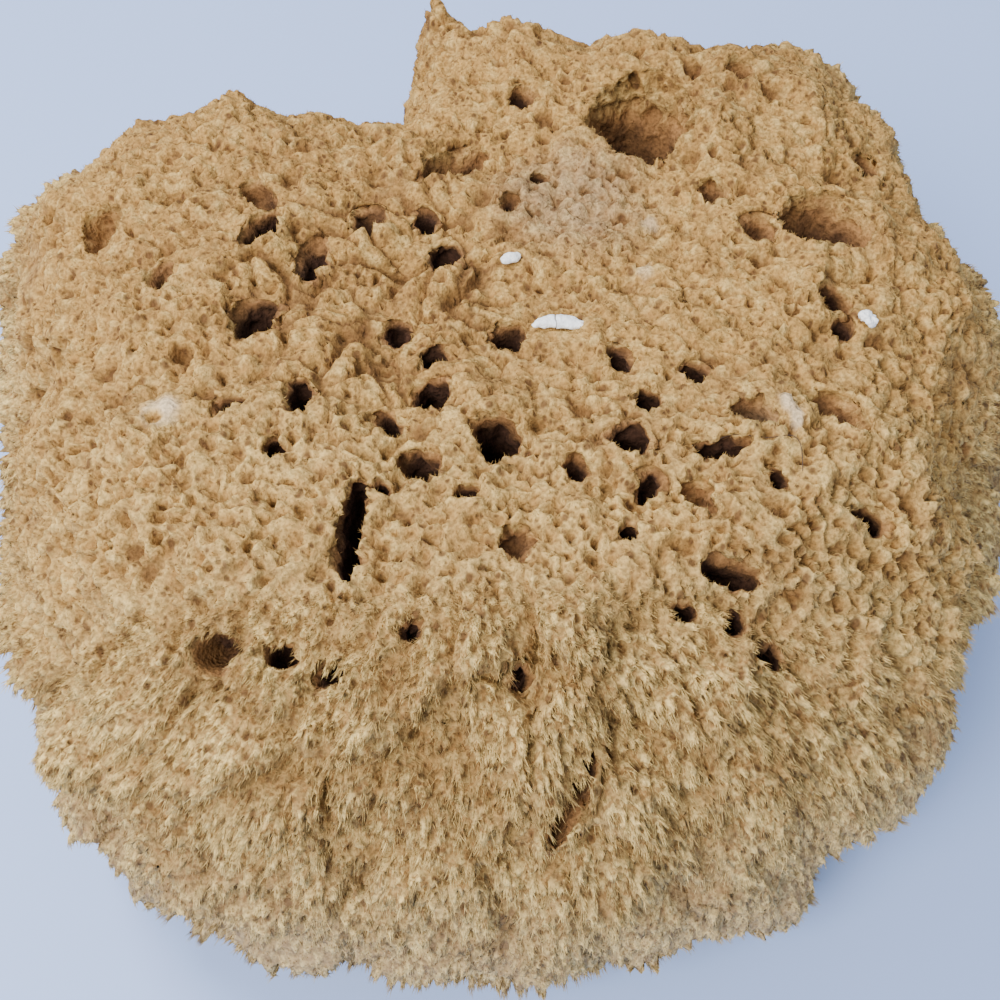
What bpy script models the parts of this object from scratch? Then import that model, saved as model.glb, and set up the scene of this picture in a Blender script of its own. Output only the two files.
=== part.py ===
"""A natural sea sponge: one bun-shaped sponge cut flat at its base, and three bits of shell lodged in its top.

Metres, +Z up. The origin is the middle of the flat base, +X is to the right and -Y is the front.
Sizes below are in millimetres and degrees, and each is turned into metres where it is used.
"""
import math

import bmesh
import bpy
from mathutils import Matrix, Vector, noise
from mathutils.bvhtree import BVHTree

MM = 0.001

# The sponge's outline seen from above, where it is widest: azimuth from +X, radius.
OUTLINE = (
    (0, 123), (12, 129), (23, 123), (37, 138), (50, 144), (60, 128), (71, 110), (86, 107),
    (95, 109), (101, 116), (111, 87), (125, 105), (145, 132), (158, 139), (172, 123), (190, 117),
    (210, 123), (228, 126), (243, 126), (257, 120), (270, 120), (286, 119), (300, 119), (313, 121),
    (327, 122), (341, 113), (351, 117),
)

# The section from the middle of the top to below the base: share of the outline's radius, height.
SECTION = (
    (0.0, 113), (0.25, 115), (0.5, 116), (0.68, 113), (0.8, 105), (0.9, 91), (0.97, 71),
    (1.0, 48), (0.985, 28), (0.94, 12), (0.87, 0), (0.78, -8), (0.0, -12),
)
MEAN_RADIUS = 118

# Broad rises and dips of the top: x, y, spread, height.
RISES = (
    (25, 92, 26, 12),
    (-19, 102, 11, 16),
    (-4, 100, 13, 12),
    (-62, 76, 14, 10),
    (-38, 79, 14, -16),
    (48, 92, 10, -8),
    (78, 86, 20, 4),
)

# Creases between the lobes: azimuth and height of one end, of the other end, half width, depth.
CREASES = (
    (184, 95, 212, 34, 8, 9),
    (256, 86, 257, 64, 6, 3.5),
    (260, 98, 262, 80, 6, 3.5),
    (283, 100, 289, 74, 7, 3.5),
    (325, 78, 332, 40, 9, 5),
    (8, 84, 14, 40, 8, 5),
    (58, 92, 62, 40, 9, 5),
    (96, 100, 102, 38, 11, 7),
    (140, 84, 150, 36, 9, 5),
    (232, 60, 240, 30, 8, 4),
    (300, 56, 308, 26, 8, 4),
)

# Lumps of the surface: size across, height, and how far the noise is moved so that sizes differ.
LUMPS = ((36, 3.0, 11.0), (17, 1.8, 37.0))
PILLOW_SIZE = 27
PILLOW_CREASE = 2.6
PILLOW_CREASE_SHARE = 0.3
SIDE_LUMP_GAIN = 1.2
TOP_LUMP_GAIN = 0.7

BODY_SUBDIVISIONS = 6
BODY_FACES_KEPT = 0.09

# Pits of the top: x, y, across, along, turn of the long side, depth, lean towards the bottom in x and y.
TOP_PITS = (
    (32, 50, 27, 27, 0, 44, 0, -5),
    (70, 17.5, 22, 18, -8, 26, 1, -3),
    (55, 15.5, 9, 8, 0, 7, 0, 0),
    (-50, -10.5, 8.5, 12, -14, 26, 1, -3),
    (-50, 14, 6.5, 13, -32, 22, 0, -3),
    (-52, 25, 6, 14, 32, 8, 0, 0),
    (-39, 6, 5, 17, -8, 12, 0, -3),
    (-87, 20, 11, 15, 24, 9, 1, -2),
    (-70, 2, 6, 10, 0, 6, 0, 0),
    (-28, 19, 7.5, 11, 10, 12, 1, -3),
    (-16, 19, 4, 8, 0, 14, 0, -2),
    (-12, 9, 7, 8.5, 0, 18, 0, 1),
    (-10, 37, 8, 22, -56, 13, 0, -2),
    (5, 58, 6.5, 7, 20, 24, -2, -3),
    (9, 31, 4, 5, 0, 9, 0, 0),
    (2, 23, 4, 5, 0, 8, 0, 0),
    (2, -15, 8, 9, 0, 14, -2, 0),
    (-13, -21, 7, 6, 0, 12, 0, 0),
    (-21, -13, 5, 8, 0, 9, 0, 0),
    (-13, -30, 8, 6, 8, 17, 0, 2),
    (-52, -35, 7.5, 4, 10, 8, 2, 0),
    (-38.5, -33, 5, 11, 6, 16, 1, -2),
    (-42, -46, 4, 5, 0, 10, 0, 0),
    (-21, -38, 4.5, 10, 30, 8, 0, 0),
    (-1, -43, 11, 11, 30, 26, -2, 1),
    (-15, -49, 7, 12, 48, 11, 1, -1),
    (-6.5, -57, 6, 5, 0, 10, 0, 0),
    (-22, -55, 4, 4, 0, 9, 0, 0),
    (-26.5, -64, 5, 26, -5, 24, 1, 0),
    (56, 66, 8, 7, 0, 8, 0, 0),
    (46, 27, 7, 7, 0, 6, 0, 0),
    (68, -5, 10, 8, 0, 9, 0, 3),
    (69.5, -11, 6, 4, 0, 12, 0, 1),
    (23, -23, 4.5, 8, 28, 11, 1, -2),
    (37.5, -27, 5, 7, -5, 10, 1, 0),
    (28, -35.5, 7.5, 7, -20, 20, 0, -1),
    (24, -45, 9, 7.5, -12, 18, 1, 1),
    (41, -47, 13, 5, 10, 18, -2, 0),
    (48, -38, 11, 8, -8, 8, 0, 0),
    (65, -35, 7, 13, 38, 8, 0, 0),
    (27, -55, 5, 8, -20, 14, 2, 0),
    (36, -57, 5.5, 12, 35, 6, 0, 0),
    (51, -52.5, 5, 5, 0, 11, 0, 0),
    (67, -57.5, 12, 6.5, -4, 15, 0, 2),
    (41, -71, 14, 6, -4, 14, -2, 0),
    (23, -65, 5, 6, 0, 11, 1, 0),
    (14, -50, 5, 6, 0, 7, 0, 0),
    (3, -67, 6, 8, 30, 6, 0, 0),
    (32, -78, 5, 4.5, 0, 8, 0, 1),
    (41.5, -78.5, 5.5, 5, 0, 13, 0, 2),
    (48.5, -83, 4.5, 6.5, 25, 13, 0, 2),
    (3, -89.5, 3.5, 3.5, 0, 8, 0, 2),
    (-15.5, -82.5, 3.5, 3.5, 0, 9, 0, 2),
    (-38, -85, 6, 4.5, 0, 9, 0, 2),
    (-28.5, -88, 9, 5, -5, 10, 0, 2),
    (-50, -84, 9, 8, 0, 9, 0, 3),
    (84, 44, 9, 7, -30, 9, 0, 0),
    (-92, 48, 8, 7, 30, 9, 0, 0),
)

# Pits of the sides: azimuth, height, across, along, turn, depth, lean downwards.
SIDE_PITS = (
    (276.5, 86, 4.5, 27, -26, 24, -2),
    (326, 45, 10, 12, 0, 22, 2),
    (347, 84, 7, 6, 0, 10, 2),
    (354, 56, 8, 7, 0, 12, 2),
    (18, 66, 9, 8, 0, 16, 2),
    (34, 44, 7, 12, -18, 14, 2),
    (48, 78, 12, 11, 0, 22, 3),
    (72, 56, 8, 15, 14, 18, 2),
    (90, 80, 11, 10, 0, 20, 3),
    (116, 62, 9, 16, -12, 20, 2),
    (134, 88, 10, 9, 0, 16, 3),
    (151, 55, 7, 9, 0, 13, 2),
    (170, 74, 9, 8, 0, 15, 3),
    (193, 58, 6, 10, 10, 11, 2),
)
MOUTH_SHARE = 0.88
LIP_ABOVE = 0.45
RAGGED = 0.30
RAGGED_GRAIN = 1.9
PIT_SEGMENTS = 9
PIT_RINGS = 5
WIDE_PIT = 18
WIDE_PIT_SEGMENTS = 16
WIDE_PIT_RINGS = 10
WALL_FULLNESS = 2.6

# Bits of shell lodged in the top: name, x, y, length, width, thickness, turn, bow of its length.
SHELL_BITS = (
    ("shell_sliver", 12, -13.6, 12.2, 3.6, 2.0, -2, 0.042),
    ("shell_chip_centre", 2.2, 6.0, 5.0, 3.0, 1.8, 24, 0.0),
    ("shell_chip_right", 74, -10.0, 4.4, 3.6, 1.8, -30, 0.02),
)
SHELL_SUNK = 0.35
SHELL_GAP = 0.35
SHELL_SEGMENTS = 12
SHELL_RINGS = 6

# The base's middle, measured from the point that the outline's radii start at.
BASE_MIDDLE = (-3.5, -5.3)

SPONGE_COLOUR = (0.53, 0.35, 0.17, 1.0)
SHELL_COLOUR = (0.86, 0.85, 0.83, 1.0)


def clear_scene():
    for item in list(bpy.data.objects):
        bpy.data.objects.remove(item, do_unlink=True)


def new_collection(name, hidden=False):
    collection = bpy.data.collections.new(name)
    bpy.context.scene.collection.children.link(collection)
    collection.hide_render = hidden
    return collection


def material(name, colour, roughness):
    made = bpy.data.materials.new(name)
    made.use_nodes = True
    shader = made.node_tree.nodes["Principled BSDF"]
    shader.inputs["Base Color"].default_value = colour
    shader.inputs["Roughness"].default_value = roughness
    shader.inputs["Metallic"].default_value = 0.0
    return made


def outline_radius(azimuth):
    """The widest radius at an azimuth, on a smooth closed curve through OUTLINE."""
    azimuth = azimuth % 360
    count = len(OUTLINE)
    after = next((i for i, point in enumerate(OUTLINE) if point[0] > azimuth), count)
    places = range(after - 2, after + 2)
    angles = [OUTLINE[i % count][0] + 360 * (i // count) for i in places]
    radii = [OUTLINE[i % count][1] for i in places]
    span = angles[2] - angles[1]
    t = (azimuth - angles[1]) / span
    slope_in = (radii[2] - radii[0]) / (angles[2] - angles[0]) * span
    slope_out = (radii[3] - radii[1]) / (angles[3] - angles[1]) * span
    return (
        (2 * t**3 - 3 * t**2 + 1) * radii[1]
        + (t**3 - 2 * t**2 + t) * slope_in
        + (3 * t**2 - 2 * t**3) * radii[2]
        + (t**3 - t**2) * slope_out
    )


def section_lengths():
    lengths = [0.0]
    for (share, height), (next_share, next_height) in zip(SECTION, SECTION[1:]):
        step = math.hypot((next_share - share) * MEAN_RADIUS, next_height - height)
        lengths.append(lengths[-1] + step)
    return lengths


LENGTHS = section_lengths()


def section_at(part):
    """Share of the radius and height, a given part of the way along the section."""
    along = part * LENGTHS[-1]
    i = 0
    while i < len(LENGTHS) - 2 and LENGTHS[i + 1] < along:
        i += 1
    t = (along - LENGTHS[i]) / (LENGTHS[i + 1] - LENGTHS[i])
    share = SECTION[i][0] + t * (SECTION[i + 1][0] - SECTION[i][0])
    height = SECTION[i][1] + t * (SECTION[i + 1][1] - SECTION[i][1])
    return share, height


def top_rise(x, y):
    return sum(
        rise * math.exp(-((x - cx) ** 2 + (y - cy) ** 2) / (2 * spread**2))
        for cx, cy, spread, rise in RISES
    )


def crease_depth(azimuth, height):
    """How far the creases press in at this azimuth and height of the side."""
    depth = 0.0
    for start, top, end, low, half_width, deep in CREASES:
        across = math.radians((azimuth - start + 180) % 360 - 180) * MEAN_RADIUS
        run = math.radians(end - start) * MEAN_RADIUS
        fall = low - top
        rise = height - top
        t = max(0.0, min(1.0, (across * run + rise * fall) / (run**2 + fall**2)))
        apart = math.hypot(across - t * run, rise - t * fall)
        depth += deep * math.exp(-((apart / half_width) ** 2))
    return depth


def lump_height(point, side):
    """Height of the lumps at a point, where side is 0 on the top and 1 on the sides."""
    gain = TOP_LUMP_GAIN + side * (SIDE_LUMP_GAIN - TOP_LUMP_GAIN)
    height = 0.0
    for size, tall, moved in LUMPS:
        height += tall * noise.noise(point / size + Vector((moved, -moved, moved)))
    distances, _ = noise.voronoi(point / PILLOW_SIZE)
    edge = (distances[1] - distances[0]) / PILLOW_CREASE_SHARE
    return gain * (height - PILLOW_CREASE * math.exp(-(edge**2)))


def body_point(direction):
    """Where a direction from the middle of a ball lands on the sponge, in millimetres."""
    polar = math.acos(max(-1.0, min(1.0, direction.z)))
    azimuth = math.degrees(math.atan2(direction.y, direction.x)) % 360
    share, height = section_at(polar / math.pi)
    radius = outline_radius(azimuth) * share
    x = radius * math.cos(math.radians(azimuth))
    y = radius * math.sin(math.radians(azimuth))
    on_top = max(0.0, min(1.0, (height - 60) / 45))
    place = Vector((x, y, height + top_rise(x, y) * on_top))
    side = math.sin(polar) ** 2
    moved = lump_height(place, side) - side * crease_depth(azimuth, height)
    return place + direction * moved


def make_body(collection):
    mesh = bpy.data.meshes.new("sponge_body")
    bm = bmesh.new()
    bmesh.ops.create_icosphere(bm, subdivisions=BODY_SUBDIVISIONS, radius=1.0)
    for vertex in bm.verts:
        vertex.co = body_point(vertex.co.normalized()) * MM
    bm.to_mesh(mesh)
    surface = BVHTree.FromBMesh(bm)
    bm.free()
    body = bpy.data.objects.new("sponge_body", mesh)
    collection.objects.link(body)
    return body, surface


def keep_fewer_faces(body):
    fewer = body.modifiers.new("fewer faces", "DECIMATE")
    fewer.ratio = BODY_FACES_KEPT


def new_cutter(name, bm, cutters):
    mesh = bpy.data.meshes.new(name)
    bm.to_mesh(mesh)
    bm.free()
    cutter = bpy.data.objects.new(name, mesh)
    cutter.hide_render = True
    cutter.display_type = "WIRE"
    cutters.objects.link(cutter)
    return cutter


def pit_cutter(name, frame, across, along, depth, lean, cutters):
    """A ragged, tapering plug. The frame's origin is on the surface and its Z points out of the sponge."""
    wide = max(across, along) > WIDE_PIT and min(across, along) > WIDE_PIT / 2
    across *= MOUTH_SHARE
    along *= MOUTH_SHARE
    segments = WIDE_PIT_SEGMENTS if wide else PIT_SEGMENTS
    rings = WIDE_PIT_RINGS if wide else PIT_RINGS
    bm = bmesh.new()
    bmesh.ops.create_uvsphere(bm, u_segments=segments, v_segments=rings, radius=1.0)
    origin = frame.translation / MM
    for vertex in bm.verts:
        unit = vertex.co.copy()
        out = unit.z > 0
        ring = math.sqrt(max(0.0, 1 - unit.z**2))
        wall = math.sqrt(max(0.0, 1 - abs(unit.z) ** WALL_FULLNESS))
        grain = noise.noise(unit * RAGGED_GRAIN + origin * 0.11)
        girth = (wall / ring if ring > 0 else 0.0) * (1 + RAGGED * grain)
        reach = LIP_ABOVE * min(across, along) if out else depth
        sunk = 0.0 if out else unit.z**2
        place = Vector((unit.x * girth * across / 2, unit.y * girth * along / 2, unit.z * reach))
        place += Vector((lean[0], lean[1], 0)) * sunk
        vertex.co = frame @ (place * MM)
    return new_cutter(name, bm, cutters)


def surface_frame(place, out, along, turn):
    """A frame on the surface: Z out of the sponge, Y near the direction given, turned about Z."""
    z = out.normalized()
    x = along.cross(z).normalized()
    y = z.cross(x)
    basis = Matrix((x, y, z)).transposed().to_4x4()
    return Matrix.Translation(place) @ basis @ Matrix.Rotation(math.radians(turn), 4, "Z")


def top_frame(surface, x, y, turn):
    above = Vector((x, y, 300)) * MM
    place, normal, _, _ = surface.ray_cast(above, Vector((0, 0, -1)))
    out = (normal + Vector((0, 0, 1.5))).normalized()
    return surface_frame(place, out, Vector((0, 1, 0)), turn)


def side_frame(surface, azimuth, height, turn):
    away = Vector((math.cos(math.radians(azimuth)), math.sin(math.radians(azimuth)), 0))
    outside = away * 300 * MM + Vector((0, 0, height * MM))
    place, normal, _, _ = surface.ray_cast(outside, -away)
    out = (normal + away).normalized()
    return surface_frame(place, out, Vector((0, 0, 1)), turn)


def make_pits(surface, cutters):
    for number, (x, y, across, along, turn, depth, lean_x, lean_y) in enumerate(TOP_PITS, 1):
        frame = top_frame(surface, x, y, turn)
        pit_cutter(f"top_pit_{number}", frame, across, along, depth, (lean_x, lean_y), cutters)
    for number, (azimuth, height, across, along, turn, depth, lean) in enumerate(SIDE_PITS, 1):
        frame = side_frame(surface, azimuth, height, turn)
        pit_cutter(f"side_pit_{number}", frame, across, along, depth, (0, -lean), cutters)


def make_base_cutter(cutters):
    """A slab below the ground plane, which leaves the flat face that the sponge was cut to."""
    bm = bmesh.new()
    slab = Matrix.Translation((0, 0, -30 * MM)) @ Matrix.Diagonal((400 * MM, 400 * MM, 60 * MM, 1))
    bmesh.ops.create_cube(bm, size=1.0, matrix=slab)
    return new_cutter("base_cut", bm, cutters)


def shell_mesh(bit, surface, grown):
    """A thin bowed chip lying in the surface, or its pocket when grown by the gap."""
    _, x, y, length, width, thickness, turn, bow = bit
    frame = top_frame(surface, x, y, turn)
    bm = bmesh.new()
    bmesh.ops.create_uvsphere(bm, u_segments=SHELL_SEGMENTS, v_segments=SHELL_RINGS, radius=1.0)
    for vertex in bm.verts:
        unit = vertex.co.copy()
        along = unit.x * (length / 2 + grown)
        across = unit.y * (width / 2 + grown) - bow * along**2
        rise = unit.z * (thickness / 2 + grown) + SHELL_SUNK
        vertex.co = frame @ (Vector((along, across, rise)) * MM)
    return bm


def make_shell_bits(surface, collection, cutters, finish):
    for bit in SHELL_BITS:
        new_cutter(bit[0] + "_pocket", shell_mesh(bit, surface, SHELL_GAP), cutters)
        mesh = bpy.data.meshes.new(bit[0])
        bm = shell_mesh(bit, surface, 0.0)
        bm.to_mesh(mesh)
        bm.free()
        mesh.shade_smooth()
        mesh.materials.append(finish)
        collection.objects.link(bpy.data.objects.new(bit[0], mesh))


def stand_on_base_middle():
    """Moves every solid and cutter so that the base's middle is the origin."""
    for item in bpy.data.objects:
        item.location = (-BASE_MIDDLE[0] * MM, -BASE_MIDDLE[1] * MM, 0)


def cut_body(body, cutters):
    cut = body.modifiers.new("pits, pockets and flat base", "BOOLEAN")
    cut.operation = "DIFFERENCE"
    cut.operand_type = "COLLECTION"
    cut.collection = cutters
    cut.solver = "EXACT"


clear_scene()
sponge = new_collection("natural_sea_sponge")
cutter_group = new_collection("cutters", hidden=True)
body, surface = make_body(sponge)
body.data.materials.append(material("sponge", SPONGE_COLOUR, 0.95))
keep_fewer_faces(body)
make_pits(surface, cutter_group)
make_base_cutter(cutter_group)
make_shell_bits(surface, sponge, cutter_group, material("shell", SHELL_COLOUR, 0.4))
cut_body(body, cutter_group)
stand_on_base_middle()
body.data.shade_smooth()
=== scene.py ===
"""The look of a natural bath sponge.

A pitted, brush-like skeleton of tan fibre, with bits of white shell held in its top.
"""
import math

import bmesh
import bpy
import numpy as np
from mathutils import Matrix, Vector, noise
from mathutils.bvhtree import BVHTree
from mathutils.kdtree import KDTree


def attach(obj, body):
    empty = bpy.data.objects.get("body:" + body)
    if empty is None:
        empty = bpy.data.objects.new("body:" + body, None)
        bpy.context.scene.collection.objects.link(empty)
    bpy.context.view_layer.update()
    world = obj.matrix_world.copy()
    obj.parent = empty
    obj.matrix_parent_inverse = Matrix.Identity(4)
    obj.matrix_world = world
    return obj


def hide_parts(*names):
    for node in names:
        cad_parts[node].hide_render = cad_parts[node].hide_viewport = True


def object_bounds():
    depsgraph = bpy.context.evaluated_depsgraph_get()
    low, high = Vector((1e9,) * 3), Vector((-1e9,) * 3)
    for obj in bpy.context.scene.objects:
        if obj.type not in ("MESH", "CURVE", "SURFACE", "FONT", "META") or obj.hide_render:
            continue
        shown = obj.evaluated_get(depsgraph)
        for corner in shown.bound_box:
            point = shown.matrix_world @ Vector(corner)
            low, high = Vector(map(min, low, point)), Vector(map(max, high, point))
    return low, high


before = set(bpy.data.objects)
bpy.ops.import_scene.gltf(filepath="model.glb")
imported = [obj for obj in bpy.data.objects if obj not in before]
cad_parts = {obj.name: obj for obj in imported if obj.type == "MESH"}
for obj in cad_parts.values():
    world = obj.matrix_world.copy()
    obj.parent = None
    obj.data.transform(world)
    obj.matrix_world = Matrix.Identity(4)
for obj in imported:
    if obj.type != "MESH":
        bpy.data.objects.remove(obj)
cad_box = [list(corner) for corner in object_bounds()]


# Camera
# A close view from above and in front of the sponge, so that its top fills the upper half of the
# picture and the brush of its front fills the lower half.
MM = 0.001
CAMERA_TARGET = Vector((3.5, -6.7, 54)) * MM
CAMERA_DISTANCE = 325 * MM
CAMERA_ELEVATION = math.radians(52)
# The lens, as the half width of the picture over its distance, both in pixels.
CAMERA_ANGLE = 2 * math.atan(500 / 1400)

camera = bpy.data.objects.new("camera", bpy.data.cameras.new("camera"))
bpy.context.scene.collection.objects.link(camera)
toward_camera = Vector((0, -math.cos(CAMERA_ELEVATION), math.sin(CAMERA_ELEVATION)))
camera.location = CAMERA_TARGET + toward_camera * CAMERA_DISTANCE
camera.rotation_euler = toward_camera.to_track_quat("Z", "Y").to_euler()
camera.data.angle = CAMERA_ANGLE
camera.data.sensor_fit = "HORIZONTAL"
camera.data.clip_start = 0.01
bpy.context.scene.camera = camera


# Floor and light
# A plain pale blue-white surface under a cool overcast sky, with two soft discs of light from high
# on the left: one behind the sponge, and a wider one in front. They leave its lower right in shade.
FLOOR_COLOUR = (0.39, 0.535, 0.92, 1.0)
FLOOR_ROUGHNESS = 0.6
FLOOR_REACH = 3.0
SKY_COLOUR = (0.80, 0.88, 1.0, 1.0)
SKY_STRENGTH = 0.88
# Each light: name, direction from the sponge, distance in metres, width in metres, watts, colour.
LIGHTS = (
    ("window", (-0.55, 0.35, 1.0), 1.3, 0.5, 14.5, (1.0, 0.97, 0.93)),
    ("room", (-0.6, -0.85, 1.0), 1.5, 0.9, 33.0, (1.0, 0.95, 0.88)),
)


def plain_material(name, colour, roughness):
    made = bpy.data.materials.new(name)
    made.use_nodes = True
    shader = made.node_tree.nodes["Principled BSDF"]
    shader.inputs["Base Color"].default_value = colour
    shader.inputs["Roughness"].default_value = roughness
    return made


floor_mesh = bpy.data.meshes.new("floor")
floor_shape = bmesh.new()
bmesh.ops.create_grid(floor_shape, x_segments=1, y_segments=1, size=FLOOR_REACH)
floor_shape.to_mesh(floor_mesh)
floor_shape.free()
floor = bpy.data.objects.new("floor", floor_mesh)
bpy.context.scene.collection.objects.link(floor)
floor.data.materials.append(plain_material("pale_floor", FLOOR_COLOUR, FLOOR_ROUGHNESS))

world = bpy.data.worlds.new("sky")
bpy.context.scene.world = world
world.use_nodes = True
world.node_tree.nodes["Background"].inputs["Color"].default_value = SKY_COLOUR
world.node_tree.nodes["Background"].inputs["Strength"].default_value = SKY_STRENGTH
for name, direction, distance, width, watts, colour in LIGHTS:
    light = bpy.data.objects.new(name, bpy.data.lights.new(name, "AREA"))
    bpy.context.scene.collection.objects.link(light)
    away = Vector(direction).normalized()
    light.location = CAMERA_TARGET + away * distance
    light.rotation_euler = away.to_track_quat("Z", "Y").to_euler()
    light.data.shape = "DISK"
    light.data.size = width
    light.data.energy = watts
    light.data.color = colour


# The sponge's skeleton
# One grown mass of springy brown-yellow fibre, cut flat where it grew on its rock. Its skin is the
# frame's solid drawn in by a fibre's length, with dents and pores pressed into it, and with points
# drawn out between them.
VOXEL = 0.72 * MM
SKIN_PIECES = ("front", "back")
PIECE_FACES = 194000
ROUNDING = 4
# The flat disc in the sponge's middle that its fibres grow out from.
CORE_RADIUS = 78 * MM
CORE_HEIGHT = 56 * MM
MEAN_RADIUS = 118 * MM
SLOPE_RADIUS = 50 * MM
# How far the skin lies inside the solid, so that the fibres' tips reach it.
VELVET_REACH = 1.0 * MM
BRUSH_REACH = 0.9 * MM
# Rays that tell how open the air in front of a point is.
OPEN_SAMPLE = 1.25 * MM
OPEN_RAYS = 18
OPEN_DISTANCE = 26 * MM
OPEN_CLEARANCE = 0.6 * MM
BASE_HEIGHT = 0.4 * MM
BOX_MARGIN = 0.1 * MM

body_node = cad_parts["sponge_body"]


def mesh_arrays(mesh):
    points = np.empty(len(mesh.vertices) * 3)
    mesh.vertices.foreach_get("co", points)
    edges = np.empty(len(mesh.edges) * 2, np.int64)
    mesh.edges.foreach_get("vertices", edges)
    return points.reshape(-1, 3), edges.reshape(-1, 2)


def vertex_normals(mesh):
    normals = np.empty(len(mesh.vertices) * 3)
    mesh.vertex_normals.foreach_get("vector", normals)
    return normals.reshape(-1, 3)


def relaxed(values, edges, rounds, share=0.5):
    """Values of the vertices, evened out with their neighbours'."""
    values = values.reshape(len(values), -1)
    count = np.bincount(edges.ravel(), minlength=len(values))[:, None]
    for _ in range(rounds):
        total = np.stack(
            [
                np.bincount(edges[:, 0], column[edges[:, 1]], len(values))
                + np.bincount(edges[:, 1], column[edges[:, 0]], len(values))
                for column in values.T
            ],
            axis=1,
        )
        values = values + share * (total / count - values)
    return values


def ramp(values, start, end):
    """0 at the start and 1 at the end, eased at both."""
    t = np.clip((values - start) / (end - start), 0, 1)
    return t * t * (3 - 2 * t)


def unit(vectors):
    return vectors / np.maximum(np.linalg.norm(vectors, axis=1), 1e-12)[:, None]


def modified(item, kind, **settings):
    """The item's mesh after one modifier, as a new mesh."""
    modifier = item.modifiers.new(kind, kind)
    for setting, value in settings.items():
        setattr(modifier, setting, value)
    graph = bpy.context.evaluated_depsgraph_get()
    mesh = bpy.data.meshes.new_from_object(item.evaluated_get(graph))
    item.modifiers.clear()
    return mesh


def openness(points, normals, surface):
    """How much of the air in front of each point is clear of the sponge."""
    turns = np.arange(OPEN_RAYS) * math.pi * (3 - math.sqrt(5))
    tilt = np.sqrt((np.arange(OPEN_RAYS) + 0.5) / OPEN_RAYS)
    fan = np.stack([tilt * np.cos(turns), tilt * np.sin(turns), np.sqrt(1 - tilt**2)], axis=1)
    clear = np.empty(len(points))
    for i, (point, normal) in enumerate(zip(points, normals)):
        turn = Vector(normal).to_track_quat("Z", "Y").to_matrix()
        start = Vector(point + normal * OPEN_CLEARANCE)
        hits = sum(
            surface.ray_cast(start, turn @ Vector(ray), OPEN_DISTANCE)[0] is not None
            for ray in fan
        )
        clear[i] = 1 - hits / OPEN_RAYS
    return clear


def nearest_index(sources, targets):
    tree = KDTree(len(sources))
    for i, point in enumerate(sources.tolist()):
        tree.insert(point, i)
    tree.balance()
    return np.array([tree.find(point)[1] for point in targets.tolist()])


def away_from_core(points):
    """The way out of the sponge from its core, whatever pit or lump a point is in."""
    reach = np.hypot(points[:, 0], points[:, 1])
    share = np.minimum(1, CORE_RADIUS / np.maximum(reach, 1e-9))
    core = np.stack(
        [points[:, 0] * share, points[:, 1] * share, np.full(len(points), CORE_HEIGHT)], axis=1
    )
    return unit(points - core)


def flow_places(points):
    """Each point's place round, out of and down the sponge, and the ways round and down."""
    reach = np.hypot(points[:, 0], points[:, 1])
    way_out = away_from_core(points)
    round_it = np.arctan2(points[:, 0], -points[:, 1]) * MEAN_RADIUS
    slope = np.arccos(np.clip(way_out[:, 2], -1, 1)) * SLOPE_RADIUS
    down_it = np.minimum(reach, CORE_RADIUS) + slope
    outer = np.linalg.norm(points - way_out * SLOPE_RADIUS, axis=1)
    radial = np.stack([points[:, 0], points[:, 1], np.zeros(len(points))], axis=1)
    radial = unit(radial)
    fall = radial - np.array((0, 0, 1.0))
    fall = unit(fall - way_out * (fall * way_out).sum(axis=1)[:, None])
    round_way = np.stack([-radial[:, 1], radial[:, 0], np.zeros(len(points))], axis=1)
    return np.stack([round_it, outer, down_it], axis=1), round_way, fall


def cells(points, size, stretch=1.0):
    """Distances to the two nearest cell middles in cell sizes, the nearest one and its chance."""
    scale = np.array((1, 1, 1 / stretch)) / size
    near = []
    middles = []
    for place in (points * scale).tolist():
        distances, found = noise.voronoi(place)
        near.append(distances[:2])
        middles.append(found[0])
    middles = np.array(middles)
    chance = np.modf(np.abs(np.sin(middles @ np.array((12.99, 78.23, 37.72))) * 437.58))[0]
    return np.array(near), middles / scale, chance


def wander(points, size, seed):
    """Smooth noise from about -1 to 1, of a given size across."""
    shift = np.array((seed, 2.3 * seed, -1.7 * seed))
    return np.array([noise.noise(place) for place in (points / size + shift).tolist()])


def rim_of(hollow):
    """1 on the rim of a pit, and 0 inside it and away from it."""
    return ramp(hollow, 0.04, 0.2) * (1 - ramp(hollow, 0.3, 0.55))


work = bpy.data.objects.new("work", body_node.data.copy())
bpy.context.scene.collection.objects.link(work)
solid_surface = BVHTree.FromPolygons(
    [v.co for v in body_node.data.vertices], [p.vertices for p in body_node.data.polygons]
)
work.data = modified(work, "REMESH", mode="VOXEL", voxel_size=VOXEL)
points, edges = mesh_arrays(work.data)
flat_base = points[:, 2] < 0.6 * VOXEL
points = relaxed(points, edges, ROUNDING)
points[flat_base, 2] = 0
work.data.vertices.foreach_set("co", points.ravel())
work.data.update()
normals = vertex_normals(work.data)

# A sparse set of the points is enough to tell where the hollows are.
_, sparse = np.unique(np.floor(points / OPEN_SAMPLE).astype(int), axis=0, return_index=True)
sparse_open = openness(points[sparse], normals[sparse], solid_surface)
is_open = sparse_open[nearest_index(points[sparse], points)]
is_open = relaxed(is_open, edges, 3)[:, 0]
hollow = 1 - ramp(is_open, 0.15, 0.75)

local_out = unit(relaxed(normals, edges, 6))
core_out = away_from_core(points)
out = unit(core_out + 0.7 * local_out * (1 - hollow)[:, None])

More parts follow.
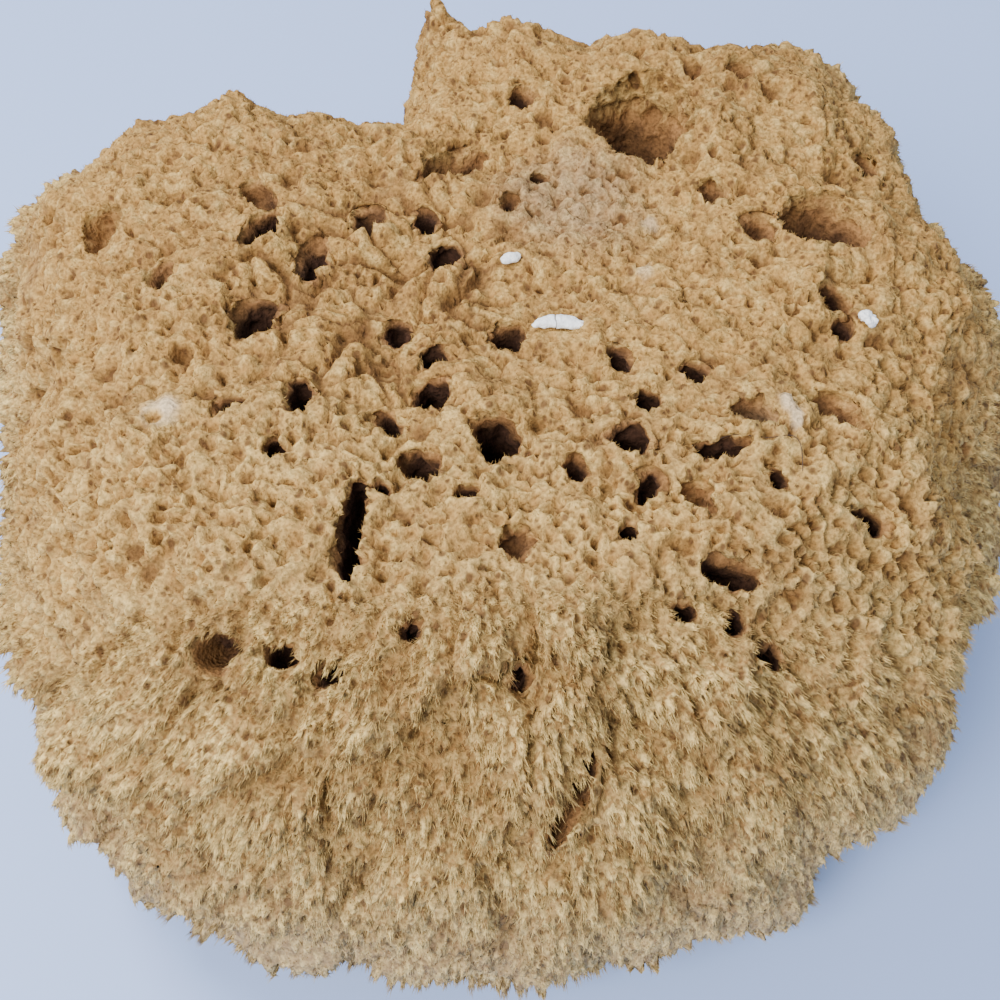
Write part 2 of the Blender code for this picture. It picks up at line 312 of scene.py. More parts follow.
# Where each kind of surface is: brush on the sides and front, froth before it, velvet on the top.
BRUSH_SLOPE = (0.5, 0.9)
BRUSH_START = (58 * MM, 84 * MM)
FROTH_START = (14 * MM, 44 * MM)
brush = np.maximum(1 - ramp(core_out[:, 2], *BRUSH_SLOPE), ramp(-points[:, 1], *BRUSH_START))
froth = ramp(-points[:, 1], *FROTH_START) * (1 - brush)
velvet = 1 - brush - froth
above_base = ramp(points[:, 2], 0.5 * MM, 6 * MM)
outside = 1 - 0.5 * hollow

# Smooth bits of the skin, in millimetres: x, y, z, half width along x and along y, and rise. Then
# how pale and how smooth.
SKIN_BITS = (
    (-60.4, -31.3, 113.5, 4.0, 4.4, 0.3, 0.6, 0.8),
    (-59.2, -30.4, 113.5, 1.8, 2.4, 0.5, 1.0, 1.0),
    (-61.6, -32.6, 113.5, 1.6, 1.8, -1.5, -0.5, 1.0),
    (57.4, -30.6, 115.0, 1.5, 2.4, 1.0, 0.9, 1.0),
    (58.8, -34.2, 114.4, 1.3, 2.6, 1.0, 0.9, 1.0),
    (51.0, -33.0, 113.0, 4.5, 3.6, 0.0, 0.2, 1.0),
    (35.3, 22.7, 112.8, 1.6, 2.0, 0.4, 0.5, 0.2),
    (33.2, 7.4, 113.2, 1.6, 2.2, 0.4, 0.5, 0.2),
    (-22.8, -71.4, 110.5, 2.2, 2.5, 1.8, 0.0, 0.2),
    (-22.8, -71.6, 110.5, 0.8, 0.9, -2.4, -0.8, 0.0),
    (-48.0, -77.0, 97.0, 3.2, 4.8, 0.0, -0.6, 0.9),
    (-100.3, 23.6, 97.8, 3.0, 9.0, 0.0, -0.4, 1.0),
)
BIT_HALF_DEPTH = 7.0
bit_rise = np.zeros(len(points))
pale = np.zeros(len(points))
smooth_bit = np.zeros(len(points))
for x, y, z, half_x, half_y, bit_height, bit_pale, bit_smooth in SKIN_BITS:
    apart = (points / MM - np.array((x, y, z))) / np.array((half_x, half_y, BIT_HALF_DEPTH))
    in_bit = 1 - ramp(np.linalg.norm(apart, axis=1), 0.65, 1.15)
    bit_rise += bit_height * MM * in_bit
    pale = pale * (1 - in_bit) + bit_pale * in_bit
    smooth_bit = np.maximum(smooth_bit, bit_smooth * in_bit)

places, _, fall = flow_places(points)
# Swellings of the skin and its fine unevenness: height, size across.
SWELL = (1.5 * MM, 11 * MM)
SMALL_SWELL = (1.0 * MM, 5.5 * MM)
FINE = (0.5 * MM, 2.3 * MM)
swell = SWELL[0] * wander(points, SWELL[1], 3) + SMALL_SWELL[0] * wander(points, SMALL_SWELL[1], 5)
fine = FINE[0] * wander(points, FINE[1], 7)
# The middle of the top is torn and rugged, with deeper gullies.
RUGGED_PLACE = np.array((-20, 2, 114)) * MM
RUGGED_REACH = (14 * MM, 44 * MM)
# Gullies: size, depth everywhere, depth in the rugged middle.
GULLIES = ((15 * MM, 0.0, 3.6 * MM), (9 * MM, 1.2 * MM, 2.2 * MM), (4.5 * MM, 0.9 * MM, 1.4 * MM))
GULLY_WIDTH = 0.14
rugged = 1 - ramp(np.linalg.norm(points - RUGGED_PLACE, axis=1), *RUGGED_REACH)
rim = rim_of(hollow)
gully = np.zeros(len(points))
for seed, (size, depth, rugged_depth) in enumerate(GULLIES, 31):
    in_gully = 1 - ramp(np.abs(wander(points, size, seed)), 0.0, GULLY_WIDTH)
    gully = np.maximum(gully, (depth + (rugged_depth - depth) * rugged) * in_gully)
# Lobes of the brush hang over each other like shingles.
LOBE_SIZE = 17 * MM
LOBE_STRETCH = 1.5
LOBE_LIP = 4.6 * MM
LOBE_GAP = 2.6 * MM
uneven = places + np.stack([swell, swell, 2 * fine], axis=1)
near, middles, _ = cells(uneven, LOBE_SIZE, LOBE_STRETCH)
lobe_edge = ramp(near[:, 0] / near[:, 1], 0.70, 1.0)
lobe_fall = np.clip((places - middles)[:, 2] / (LOBE_SIZE * LOBE_STRETCH), -0.5, 0.5)
# Round dents of the velvet: size of cell, radius as a part of it, depth, chance.
DENTS = (
    (9.0 * MM, 0.28, 3.0 * MM, 0.55),
    (5.0 * MM, 0.29, 2.0 * MM, 0.5),
    (3.6 * MM, 0.26, 2.8 * MM, 0.45),
    (2.4 * MM, 0.30, 2.0 * MM, 0.40),
)
dent = np.zeros(len(points))
for size, part, depth, kept in DENTS:
    near, _, chance = cells(points + np.stack([fine, -fine, fine], axis=1), size)
    in_dent = (1 - ramp(near[:, 0], 0.45 * part, 1.2 * part)) * (chance < kept)
    dent = np.maximum(dent, depth * in_dent)
dent *= velvet + 0.8 * froth + 0.2 * brush
# Pores of the froth stand so close that only thin walls are left between them.
FROTH_PORE_SIZES = (2.2 * MM, 3.7 * MM)
froth_pore = np.zeros(len(points))
for size in FROTH_PORE_SIZES:
    near, _, chance = cells(points + np.stack([fine, fine, -fine], axis=1), size)
    in_pore = 1 - ramp(near[:, 0] / near[:, 1], 0.25, 0.9)
    froth_pore = np.maximum(froth_pore, in_pore * np.clip(1.7 * chance - 0.25, 0, 1))
# Tufts of the brush: high in the middle, highest at their lower ends, with low gaps round them that
# are darkened with painted shade.
TUFT_SIZE = 2.0 * MM
TUFT_STRETCH = 2.1
TUFT_HEIGHT = 2.2 * MM
TUFT_LIP = 1.3 * MM
near, middles, chance = cells(places, TUFT_SIZE, TUFT_STRETCH)
ridge = (1 - ramp(near[:, 0] / near[:, 1], 0.35, 0.95)) * np.clip(0.5 + 0.9 * chance, 0, 1)
tuft_fall = np.clip((places - middles)[:, 2] / (TUFT_SIZE * TUFT_STRETCH), -0.5, 0.5)
# Small holes between the tufts, darkened with painted shade: cell size, stretch, chance, depth.
HOLE_SIZE = 6.0 * MM
HOLE_STRETCH = 1.5
HOLE_CHANCE = 0.4
HOLE_DEPTH = 2.8 * MM
near, _, chance = cells(places, HOLE_SIZE, HOLE_STRETCH)
dark_hole = (1 - ramp(near[:, 0], 0.09, 0.22)) * (chance < HOLE_CHANCE)

# Lumps and lobes carry their pits with them; the finer relief stands on them.
RIM_RAGGED = (1.8 * MM, 3.4 * MM)
lump = swell * (1 + 0.2 * brush + 0.6 * rugged) - 0.5 * lobe_edge * velvet * MM
lump += brush * (LOBE_LIP * lobe_fall - LOBE_GAP * lobe_edge)
lump *= 1 - 0.8 * smooth_bit
detail = fine * (velvet + 1.6 * froth + brush) - dent
detail -= gully * (velvet + 0.8 * froth + 0.4 * brush)
detail += rim * (1 - brush) * wander(points, RIM_RAGGED[1], 17) * RIM_RAGGED[0]
detail += (0.4 - froth_pore) * (0.8 * velvet + 2.5 * froth) * MM
detail += brush * ((ridge - 0.4) * TUFT_HEIGHT + TUFT_LIP * tuft_fall * ridge)
detail -= dark_hole * (0.5 * froth + brush) * HOLE_DEPTH
detail *= outside * (1 - smooth_bit)
detail += bit_rise
droop = ridge * (1 + 1.6 * np.maximum(tuft_fall, 0)) + 1.2 * np.maximum(lobe_fall, 0)
droop *= brush * (1 - smooth_bit) * MM
inset = VELVET_REACH + (BRUSH_REACH - VELVET_REACH) * brush
# The fibres close round the bits of shell.
SHELL_NEAR = 12 * MM
SHELL_GRIP = (0.8 * MM, 3.0 * MM)
for name in ("shell_sliver", "shell_chip_centre", "shell_chip_right"):
    shell_verts, _ = mesh_arrays(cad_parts[name].data)
    shell_verts = shell_verts + np.array(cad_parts[name].matrix_world.translation)
    from_shell = np.linalg.norm(points - shell_verts.mean(axis=0), axis=1)
    close = np.flatnonzero(from_shell < SHELL_NEAR)
    apart = np.linalg.norm(points[close, None] - shell_verts[None], axis=2).min(axis=1)
    by_shell = 1 - ramp(apart, *SHELL_GRIP)
    inset[close] *= 1 - 0.9 * by_shell
    detail[close] *= 1 - 0.6 * by_shell
    lump[close] *= 1 - 0.6 * by_shell
points = points - out * ((inset - lump) * above_base)[:, None]
points += local_out * (detail * above_base)[:, None]
points += fall * (droop * above_base)[:, None]
points[:, 2] = np.maximum(points[:, 2], BASE_HEIGHT)
low, high = (np.array(corner) for corner in cad_box)
points = np.clip(points, low + BOX_MARGIN, high - BOX_MARGIN)


def give_fields(mesh, fields):
    for name, values in fields.items():
        field = mesh.attributes.new(name, "FLOAT", "POINT")
        field.data.foreach_set("value", np.ascontiguousarray(values, np.float32))


def field_of(mesh, name):
    values = np.empty(len(mesh.vertices), np.float32)
    mesh.attributes[name].data.foreach_get("value", values)
    return values.astype(float)


# Painted shade in the froth's pores, in the gaps round the tufts, in the creases between the lobes
# and in the holes between the tufts.
pore_shade = froth_pore * (0.35 * velvet + 0.9 * froth)
pore_shade += np.maximum(0.8 * ramp(1 - ridge, 0.45, 0.95), 0.8 * lobe_edge) * brush
pore_shade = np.maximum(pore_shade, dark_hole * (1 - velvet))
# Painted shade for the closed pits: near black where the air in front is least clear, most of all
# on the top.
deep_shade = (1 - ramp(is_open, 0.10, 0.42)) * (0.4 + 0.6 * ramp(core_out[:, 2], 0.75, 0.93))
# Painted highlight: the tops and lower ends of the tufts, the rims of pits and the froth's walls
# are made paler.
tip = (1 - froth_pore) * 0.3 * froth
tip += ridge * (0.55 + 0.5 * lobe_fall + 0.5 * tuft_fall) * brush + 0.3 * rim
fields = {
    "hollow": hollow,
    "deep_shade": deep_shade,
    "pore_shade": pore_shade * (1 - smooth_bit),
    "tip": tip * (1 - smooth_bit),
    "dent": np.clip(np.maximum(dent, 0.9 * gully) / (1.8 * MM), 0, 1),
    "brush": brush,
    "pale": pale,
    "smooth_bit": smooth_bit,
    "out_x": out[:, 0],
    "out_y": out[:, 1],
    "out_z": out[:, 2],
}
work.data.vertices.foreach_set("co", points.ravel())
give_fields(work.data, fields)
work.data.update()
work.data.calc_loop_triangles()
faces_kept = len(SKIN_PIECES) * PIECE_FACES
kept_share = min(1.0, faces_kept / len(work.data.loop_triangles))
whole = modified(work, "DECIMATE", ratio=kept_share)
bpy.data.objects.remove(work)
whole_points, _ = mesh_arrays(whole)
whole_fields = {name: field_of(whole, name) for name in fields}
whole.calc_loop_triangles()
triangles = np.empty(len(whole.loop_triangles) * 3, np.int64)
whole.loop_triangles.foreach_get("vertices", triangles)
triangles = triangles.reshape(-1, 3)

VELVET_COLOUR = (0.53, 0.31, 0.096, 1)
BRUSH_COLOUR = (0.84, 0.605, 0.245, 1)
# Pale yellow, for the fibre's random specks and streaks and for painted highlight on its tips.
TIP_TONE_AND_HIGHLIGHT_COLOUR = (0.99, 0.745, 0.30, 1)
# Dark brown, for the skin's own patches and for the painted shade of its pores, dents, gaps and
# dark streaks.
PORE_SHADE_AND_PATCH_COLOUR = (0.29, 0.148, 0.048, 1)
SHADOW_COLOUR = (0.150, 0.070, 0.028, 1)
# Painted shade colours for the hollows and for the deepest pits.
HOLLOW_SHADE_COLOUR = (0.37, 0.185, 0.070, 1)
DEEP_SHADE_COLOUR = (0.060, 0.028, 0.017, 1)
DUST_COLOUR = (0.46, 0.36, 0.25, 1)
PALE_COLOUR = (0.84, 0.64, 0.40, 1)
DUST_PLACE = (0.0195, 0.029, 0.114)
DUST_REACH = (6 * MM, 22 * MM)
# Painted light from the floor's bounce makes the foot of the sponge paler and greyer, less and less
# up to this height.
PAINTED_BOUNCE_LIGHT_COLOUR = (0.62, 0.52, 0.36, 1)
PAINTED_BOUNCE_LIGHT_HEIGHT = 70 * MM
# Sizes of the skin's patches, specks, grain, streaks and two kinds of small pores painted as dark
# spots of shade. The streaks and pores are drawn out down the sides.
PATCH_SIZE = 24 * MM
SPECK_SIZE = 3.2 * MM
FIBRE_GRAIN = 0.8 * MM
STREAK_SIZE = 1.3 * MM
DOT_SIZE = 1.5 * MM
WIDE_DOT_SIZE = 3.7 * MM
DRAWN_OUT = (1, 1, 0.42)
FIBRE_BUMP = 0.6 * MM


class Nodes:
    """A short way to add and join a material's nodes."""

    def __init__(self, tree):
        self.tree = tree

    def add(self, kind, settings=(), **inputs):
        node = self.tree.nodes.new(kind)
        for name, value in dict(settings).items():
            setattr(node, name, value)
        for name, value in inputs.items():
            socket = node.inputs[int(name[1:]) if name[1:].isdigit() else name.replace("_", " ")]
            if isinstance(value, bpy.types.NodeSocket):
                self.tree.links.new(value, socket)
            else:
                socket.default_value = value
        return node

    def field(self, name):
        return self.add("ShaderNodeAttribute", {"attribute_name": name}).outputs["Fac"]

    def mix(self, share, first, second, blend="MIX"):
        node = self.add(
            "ShaderNodeMix",
            {"data_type": "RGBA", "blend_type": blend},
            _0=share,
            _6=first,
            _7=second,
        )
        return node.outputs[2]

    def math(self, operation, first, second=0.0):
        clamp = {"operation": operation, "use_clamp": True}
        return self.add("ShaderNodeMath", clamp, _0=first, _1=second).outputs[0]

    def span(self, value, low, high, to_low=0.0, to_high=1.0):
        node = self.add(
            "ShaderNodeMapRange", {}, Value=value, From_Min=low, From_Max=high,
            To_Min=to_low, To_Max=to_high,
        )
        return node.outputs[0]

    def noise(self, place, size, detail=2.0):
        scale = 1 / size
        return self.add("ShaderNodeTexNoise", Vector=place, Scale=scale, Detail=detail).outputs[0]

    def grain(self, place, size):
        settings = {"node_tree": fine_grain}
        return self.add("ShaderNodeGroup", settings, _0=place, _1=1 / size).outputs[0]


def grain_group():
    """Fine grain for the fibre and the shell: a place goes in, and a value of 0 to 1 comes out."""
    group = bpy.data.node_groups.new("fine_grain", "ShaderNodeTree")
    group.interface.new_socket("Place", in_out="INPUT", socket_type="NodeSocketVector")
    group.interface.new_socket("Grains per metre", in_out="INPUT", socket_type="NodeSocketFloat")
    group.interface.new_socket("Grain", in_out="OUTPUT", socket_type="NodeSocketFloat")
    nodes = Nodes(group)
    given = nodes.add("NodeGroupInput").outputs
    grain = nodes.add("ShaderNodeTexNoise", Vector=given[0], Scale=given[1], Detail=3.0)
    nodes.add("NodeGroupOutput", _0=grain.outputs[0])
    return group


fine_grain = grain_group()


def sponge_material():
    """Dry spongin: matt tan fibre, with painted highlight that makes its tips pale, and painted
    shade that turns it brown in its pores and near black in the deepest pits.
    """
    made = bpy.data.materials.new("spongin_fibre")
    made.use_nodes = True
    nodes = Nodes(made.node_tree)
    shader = made.node_tree.nodes["Principled BSDF"]
    place = nodes.add("ShaderNodeTexCoord").outputs["Object"]
    patches = nodes.noise(place, PATCH_SIZE, 3.0)
    speck = nodes.noise(place, SPECK_SIZE, 3.0)
    grain = nodes.grain(place, FIBRE_GRAIN)
    dusty = nodes.add("ShaderNodeVectorMath", {"operation": "DISTANCE"}, _0=place, _1=DUST_PLACE)
    dusty = dusty.outputs["Value"]
    colour = nodes.mix(nodes.field("brush"), VELVET_COLOUR, BRUSH_COLOUR)
    colour = nodes.mix(nodes.span(patches, 0.46, 0.70, 0.0, 0.55), colour, PORE_SHADE_AND_PATCH_COLOUR)
    colour = nodes.mix(nodes.span(speck, 0.48, 0.68, 0.0, 0.35), colour, TIP_TONE_AND_HIGHLIGHT_COLOUR)
    height = nodes.add("ShaderNodeSeparateXYZ", Vector=place).outputs["Z"]
    # Painted bounce light from the floor on the foot, fading out upward.
    foot = nodes.span(height, 0, PAINTED_BOUNCE_LIGHT_HEIGHT, 0.5, 0.0)
    tall = nodes.add("ShaderNodeVectorMath", {"operation": "MULTIPLY"}, _0=place, _1=DRAWN_OUT)
    tall = tall.outputs[0]
    streak = nodes.noise(tall, STREAK_SIZE)
    streaked = nodes.field("brush")
    bright = nodes.math("MULTIPLY", nodes.span(streak, 0.50, 0.64, 0.0, 0.6), streaked)
    colour = nodes.mix(bright, colour, TIP_TONE_AND_HIGHLIGHT_COLOUR)
    # The dark streaks of the brush are painted shade of the gaps between its fibres.
    dark = nodes.math("MULTIPLY", nodes.span(streak, 0.36, 0.46, 0.7, 0.0), streaked)
    dots = nodes.add("ShaderNodeTexVoronoi", Vector=tall, Scale=1 / DOT_SIZE)
    dot = nodes.span(dots.outputs["Distance"], 0.18, 0.42, 1.0, 0.0)
    dot = nodes.math("MULTIPLY", dot, nodes.span(speck, 0.40, 0.56, 1.0, 0.0))
    dot = nodes.math("MULTIPLY", dot, nodes.span(nodes.field("brush"), 0, 1, 1.0, 0.8))
    # Only some of the cells hold one of the wider pores, painted as a dark spot of shade.
    wide_dots = nodes.add("ShaderNodeTexVoronoi", Vector=tall, Scale=1 / WIDE_DOT_SIZE)
    chance = nodes.add("ShaderNodeSeparateColor", Color=wide_dots.outputs["Color"]).outputs[0]
    wide_dot = nodes.span(wide_dots.outputs["Distance"], 0.13, 0.29, 1.0, 0.0)
    wide_dot = nodes.math("MULTIPLY", wide_dot, nodes.span(chance, 0.52, 0.62, 1.0, 0.0))
    # Painted highlight on the tufts, rims and froth walls.
    colour = nodes.mix(nodes.math("MULTIPLY", nodes.field("tip"), 0.75), colour, TIP_TONE_AND_HIGHLIGHT_COLOUR)
    dust = nodes.math("MULTIPLY", nodes.span(dusty, *DUST_REACH, 0.5, 0.0), patches)
    colour = nodes.mix(nodes.math("MULTIPLY", dust, 1.5), colour, DUST_COLOUR)
    dent_shade = nodes.field("dent")
    # Painted shade in the dents and gullies: brown, and near black where they are deepest.
    colour = nodes.mix(nodes.math("MULTIPLY", dent_shade, 0.85), colour, PORE_SHADE_AND_PATCH_COLOUR)
    colour = nodes.mix(nodes.span(dent_shade, 0.5, 1.0, 0.0, 0.6), colour, SHADOW_COLOUR)
    # Painted shade in the pores, gaps, creases and holes.
    colour = nodes.mix(nodes.math("MULTIPLY", nodes.field("pore_shade"), 0.85), colour, PORE_SHADE_AND_PATCH_COLOUR)
    colour = nodes.mix(dark, colour, PORE_SHADE_AND_PATCH_COLOUR)
    colour = nodes.mix(nodes.math("MULTIPLY", dot, 0.9), colour, SHADOW_COLOUR)
    colour = nodes.mix(nodes.math("MULTIPLY", wide_dot, 0.85), colour, SHADOW_COLOUR)
    # Painted light from the floor's bounce on the foot.
    colour = nodes.mix(foot, colour, PAINTED_BOUNCE_LIGHT_COLOUR)
    # Painted shade: brown in the hollows, where little of the air in front is clear, and near black
    # in the deepest pits.
    colour = nodes.mix(nodes.span(nodes.field("hollow"), 0.15, 0.8), colour, HOLLOW_SHADE_COLOUR)
    colour = nodes.mix(nodes.field("deep_shade"), colour, DEEP_SHADE_COLOUR)
    # The smooth bits of the skin: paler where the value is above 0, and darker where it is below.
    colour = nodes.mix(nodes.field("pale"), colour, PALE_COLOUR)
    colour = nodes.mix(nodes.math("MULTIPLY", nodes.field("pale"), -0.9), colour, PORE_SHADE_AND_PATCH_COLOUR)
    strand_shade = nodes.span(nodes.field("shade"), 0, 1, 0.7, 1.0)
    shade = nodes.math("MULTIPLY", nodes.span(grain, 0.36, 0.62, 0.6, 1.0), strand_shade)
    grey = nodes.add("ShaderNodeCombineColor", Red=shade, Green=shade, Blue=shade).outputs[0]
    colour = nodes.mix(1.0, colour, grey, "MULTIPLY")
    made.node_tree.links.new(colour, shader.inputs["Base Color"])
    shader.inputs["Roughness"].default_value = 0.95
    shader.inputs["Specular IOR Level"].default_value = 0.15
    pressed = nodes.math("MULTIPLY", nodes.math("ADD", dot, wide_dot), 0.5)
    relief = nodes.math("SUBTRACT", grain, pressed)
    bump = nodes.add("ShaderNodeBump", Strength=0.8, Distance=FIBRE_BUMP, Height=relief)
    made.node_tree.links.new(bump.outputs[0], shader.inputs["Normal"])
    return made


fibre_finish = sponge_material()


def add_piece(name, points, faces, fields, finish):
    """A piece of the sponge as its own object on the root body."""
    mesh = bpy.data.meshes.new(name)
    mesh.from_pydata(points.tolist(), [], faces.tolist())
    give_fields(mesh, fields)
    mesh.materials.append(finish)
    piece = bpy.data.objects.new(name, mesh)
    bpy.context.scene.collection.objects.link(piece)
    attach(piece, "root")
    return piece


# The skin is cut into a front and a back piece with the same number of faces.
SKIN_SHADE = 0.7
middles = whole_points[triangles].mean(axis=1)
turn = (np.degrees(np.arctan2(middles[:, 1], middles[:, 0])) - 180) % 360
by_turn = np.argsort(turn, kind="stable")
for name, members in zip(SKIN_PIECES, np.array_split(by_turn, len(SKIN_PIECES))):
    used, faces = np.unique(triangles[members], return_inverse=True)
    faces = faces.reshape(-1, 3)
    kept = {key: values[used] for key, values in whole_fields.items() if not key.startswith("out_")}
    kept["shade"] = np.full(len(used), SKIN_SHADE)
    skin = add_piece("skin_" + name, whole_points[used], faces, kept, fibre_finish)
    skin.data.shade_smooth()
    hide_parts("sponge_body")


# Fibres of the brush and the velvet
# The skeleton ends in fine springy strands. On the sides they gather into points combed outwards
# and down, and on the top they stand as a short velvet. Each strand is a slender closed spike.
VELVET_WIDTH = 0.20 * MM
BRUSH_WIDTH = 0.27 * MM
VELVET_LENGTH = 1.1 * MM
BRUSH_LENGTH = 1.8 * MM
ROOT_DEPTH = 0.3 * MM
STRAND_MARGIN = 0.05 * MM
# How far the strands are combed down, and how strongly and how far they lean to their tuft's point.
COMB_DOWN = 0.75
GATHER = 0.6
GATHER_REACH = 1.0 * MM
LOWEST_ROOT = 1.2 * MM
FRONT_EDGE = -8 * MM
rng = np.random.default_rng(11)

corners = whole_points[triangles]
facing = np.cross(corners[:, 1] - corners[:, 0], corners[:, 2] - corners[:, 0])
areas = np.linalg.norm(facing, axis=1) / 2
facing = unit(facing)
at_faces = {name: values[triangles].mean(axis=1) for name, values in whole_fields.items()}
out_at_faces = unit(np.stack([at_faces.pop("out_" + axis) for axis in "xyz"], axis=1))
weight = areas * (1 - 0.6 * at_faces["hollow"]) * (1 - 0.85 * at_faces["pore_shade"])
weight *= (1 - 0.97 * at_faces["smooth_bit"]) * (1 - 0.8 * at_faces["dent"])
weight *= 1 + 2 * rim_of(at_faces["hollow"])
weight *= 1 + at_faces["brush"] * (1.6 * at_faces["tip"] - 0.8)
weight *= 1 - 0.5 * ramp(out_at_faces[:, 1], 0.3, 0.8)
weight *= (middles[:, 2] > LOWEST_ROOT) & (out_at_faces[:, 2] > -0.75)
in_brush = at_faces["brush"] > 0.5
in_front = middles[:, 1] < FRONT_EDGE
# Each piece: name, number of strands, faces that they stand on.
STRAND_PIECES = (
    ("top", 38000, ~in_brush),
    ("brush_front_left", 39000, in_brush & in_front & (middles[:, 0] < 0)),
    ("brush_front_right", 39000, in_brush & in_front & (middles[:, 0] >= 0)),
    ("brush_back", 31000, in_brush & ~in_front),
)


def strands(count, chosen):
    """Points and fields of one piece's strands, four points to a strand with the tip last."""
    share = weight * chosen
    faces = rng.choice(len(triangles), count, p=share / share.sum())
    a, b = rng.random((2, count, 1))
    flip = (a + b) > 1
    a, b = np.where(flip, 1 - a, a), np.where(flip, 1 - b, b)
    first, second, third = (corners[faces, i] for i in range(3))
    roots = first + a * (second - first) + b * (third - first)
    brushed = at_faces["brush"][faces][:, None]
    spread = 0.42 - 0.26 * brushed
    outward = out_at_faces[faces]
    places, round_way, fall = flow_places(roots)
    way = outward * (1 - 0.45 * brushed) + 0.25 * facing[faces] + COMB_DOWN * brushed * fall
    way = unit(way + spread * rng.normal(0, 1, (count, 3)))
    _, tuft_middles, chance = cells(places, TUFT_SIZE, TUFT_STRETCH)
    longer = brushed * (BRUSH_LENGTH - VELVET_LENGTH)
    length = VELVET_LENGTH + longer * (0.7 + 0.6 * chance[:, None])
    at_tuft_tip = at_faces["tip"][faces][:, None]
    length = length * rng.uniform(0.6, 1.15, (count, 1)) * (0.75 + 0.5 * at_tuft_tip)
    # The strands of a tuft lean together to a point below its middle.
    point = tuft_middles - places + np.array((0, 0, 0.3 * TUFT_SIZE * TUFT_STRETCH))
    lean = np.clip(point, -GATHER_REACH, GATHER_REACH) * GATHER * brushed
    tips = roots + way * length + round_way * lean[:, :1] + fall * lean[:, 2:]
    way = unit(tips - roots)
    side = unit(np.cross(way, rng.normal(0, 1, way.shape)))
    other = np.cross(way, side)
    width = VELVET_WIDTH + brushed * (BRUSH_WIDTH - VELVET_WIDTH)
    width = width * rng.uniform(0.6, 1.25, (count, 1)) / 2
    foot = roots - way * ROOT_DEPTH
    rings = [
        foot + width * (math.cos(turn) * side + math.sin(turn) * other)
        for turn in (0, 2 * math.pi / 3, 4 * math.pi / 3)
    ]
    verts = np.stack(rings + [tips], axis=1).reshape(-1, 3)
    verts = np.clip(verts, low + STRAND_MARGIN, high - STRAND_MARGIN)
    fields = {name: np.repeat(values[faces], 4) for name, values in at_faces.items()}
    at_tip = np.tile((0.0, 0.0, 0.0, 1.0), count)
    # Each strand is paler towards its tip with painted highlight, and keeps the painted shade of
    # its pores only at its root.
    fields["tip"] = np.clip(0.35 * fields["tip"] + (0.25 + 0.55 * fields["brush"]) * at_tip, 0, 1)
    fields["pore_shade"] = fields["pore_shade"] * (1 - at_tip)
    fields["shade"] = np.repeat(rng.uniform(0.45, 1.0, count), 4)
    return verts, fields


# A spike's corners are three round its foot and then its tip.
spike_faces = np.array(((0, 2, 1), (0, 1, 3), (1, 2, 3), (2, 0, 3)))
for name, count, chosen in STRAND_PIECES:
    count = count
    verts, fields = strands(count, chosen)
    spikes = (4 * np.arange(count)[:, None, None] + spike_faces).reshape(-1, 3)
    add_piece("fibres_" + name, verts, spikes, fields, fibre_finish)


# Bits of shell
# Broken white shell that the sponge grew round, held in the fibres of its top: a long sliver with a
# hair crack across it, a smooth chip and a crumbling one. Chalky, with a satin shine.
SHELL_COLOUR = (0.86, 0.88, 0.90, 1)
SHELL_SHADE = (0.50, 0.50, 0.50, 1)
CRACK_COLOUR = (0.16, 0.14, 0.12, 1)
# Each bit: name, grain height, grain size, part of its length where it is cracked.
SHELL_BITS = (
    ("shell_sliver", 0.26 * MM, 1.3 * MM, 0.42),
    ("shell_chip_centre", 0.30 * MM, 1.5 * MM, None),
    ("shell_chip_right", 0.70 * MM, 1.0 * MM, None),
)
CRACK_WIDTH = 0.16 * MM
CRACK_DEPTH = 0.12 * MM
SHELL_VOXEL = 0.14 * MM
SHELL_GRAIN = 0.6 * MM
SHELL_BUMP = 0.2 * MM
SHELL_ROUGHNESS = 0.45


def shell_material():
    """Chalky white shell, greyer in its grain and dark in its crack."""
    made = bpy.data.materials.new("white_shell")
    made.use_nodes = True
    nodes = Nodes(made.node_tree)
    shader = made.node_tree.nodes["Principled BSDF"]
    place = nodes.add("ShaderNodeTexCoord").outputs["Object"]
    grain = nodes.grain(place, SHELL_GRAIN)
    colour = nodes.mix(nodes.span(grain, 0.55, 0.8, 0.0, 0.6), SHELL_COLOUR, SHELL_SHADE)
    colour = nodes.mix(nodes.field("crack"), colour, CRACK_COLOUR)
    made.node_tree.links.new(colour, shader.inputs["Base Color"])
    shader.inputs["Roughness"].default_value = SHELL_ROUGHNESS
    bump = nodes.add("ShaderNodeBump", Strength=0.5, Distance=SHELL_BUMP, Height=grain)
    made.node_tree.links.new(bump.outputs[0], shader.inputs["Normal"])
    return made


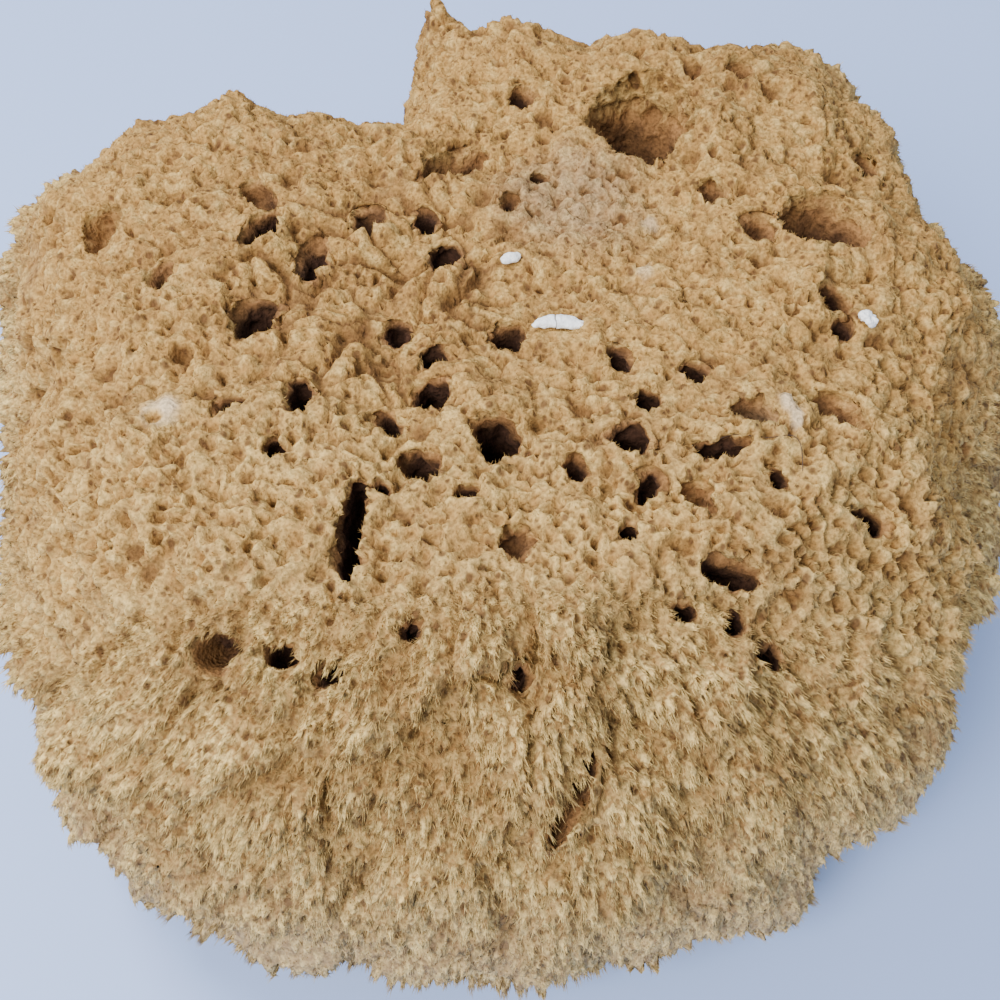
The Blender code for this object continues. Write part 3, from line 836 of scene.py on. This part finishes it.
shell_finish = shell_material()
for name, grain_height, grain_size, cracked_at in SHELL_BITS:
    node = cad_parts[name]
    work = bpy.data.objects.new("work", node.data.copy())
    bpy.context.scene.collection.objects.link(work)
    mesh = modified(work, "REMESH", mode="VOXEL", voxel_size=SHELL_VOXEL)
    bpy.data.objects.remove(work)
    shell_points, shell_edges = mesh_arrays(mesh)
    shell_points = relaxed(shell_points, shell_edges, 5)
    mesh.vertices.foreach_set("co", shell_points.ravel())
    mesh.update()
    shell_out = vertex_normals(mesh)
    grain = wander(shell_points, grain_size, 13) * grain_height
    grain += 0.3 * wander(shell_points, 0.3 * grain_size, 29) * grain_height
    crack = np.zeros(len(shell_points))
    if cracked_at is not None:
        left, right = shell_points[:, 0].min(), shell_points[:, 0].max()
        line = left + cracked_at * (right - left) + 0.35 * MM * wander(shell_points, 1.6 * MM, 19)
        crack = 1 - ramp(np.abs(shell_points[:, 0] - line), 0.3 * CRACK_WIDTH, CRACK_WIDTH)
    shell_points = shell_points + shell_out * (grain - CRACK_DEPTH * crack)[:, None]
    mesh.vertices.foreach_set("co", shell_points.ravel())
    give_fields(mesh, {"crack": crack})
    mesh.materials.clear()
    mesh.materials.append(shell_finish)
    mesh.shade_smooth()
    piece = bpy.data.objects.new(name + "_look", mesh)
    bpy.context.scene.collection.objects.link(piece)
    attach(piece, "root")
    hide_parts(name)


# The hair
# One dark hair that has settled on the top, from the mouth of a pit across its rim. It is thin and
# bent, and lies loose on the fibres.
HAIR_PATH = (
    (42.5, -40.4, 114.2), (45.0, -39.2, 115.2), (48.1, -39.2, 115.3), (53.0, -40.3, 115.0),
    (56.6, -38.9, 115.2), (58.6, -40.2, 115.0), (58.6, -43.4, 114.4), (58.3, -46.6, 113.6),
)
HAIR_WIDTH = 0.17 * MM
HAIR_COLOUR = (0.05, 0.025, 0.015, 1)
HAIR_ROUGHNESS = 0.5
hair_curve = bpy.data.curves.new("hair", "CURVE")
hair_curve.dimensions = "3D"
hair_curve.bevel_depth = HAIR_WIDTH / 2
hair_curve.bevel_resolution = 1
hair_curve.use_fill_caps = True
strand = hair_curve.splines.new("NURBS")
strand.points.add(len(HAIR_PATH) - 1)
for point, (x, y, z) in zip(strand.points, HAIR_PATH):
    point.co = (x * MM, y * MM, z * MM, 1)
strand.use_endpoint_u = True
strand.order_u = 4
strand.resolution_u = 6
work = bpy.data.objects.new("work", hair_curve)
bpy.context.scene.collection.objects.link(work)
hair_mesh = bpy.data.meshes.new_from_object(
    work.evaluated_get(bpy.context.evaluated_depsgraph_get())
)
bpy.data.objects.remove(work)
hair_mesh.materials.clear()
hair_mesh.materials.append(plain_material("dark_hair", HAIR_COLOUR, HAIR_ROUGHNESS))
hair_mesh.shade_smooth()
hair = bpy.data.objects.new("stray_hair", hair_mesh)
bpy.context.scene.collection.objects.link(hair)
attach(hair, "root")
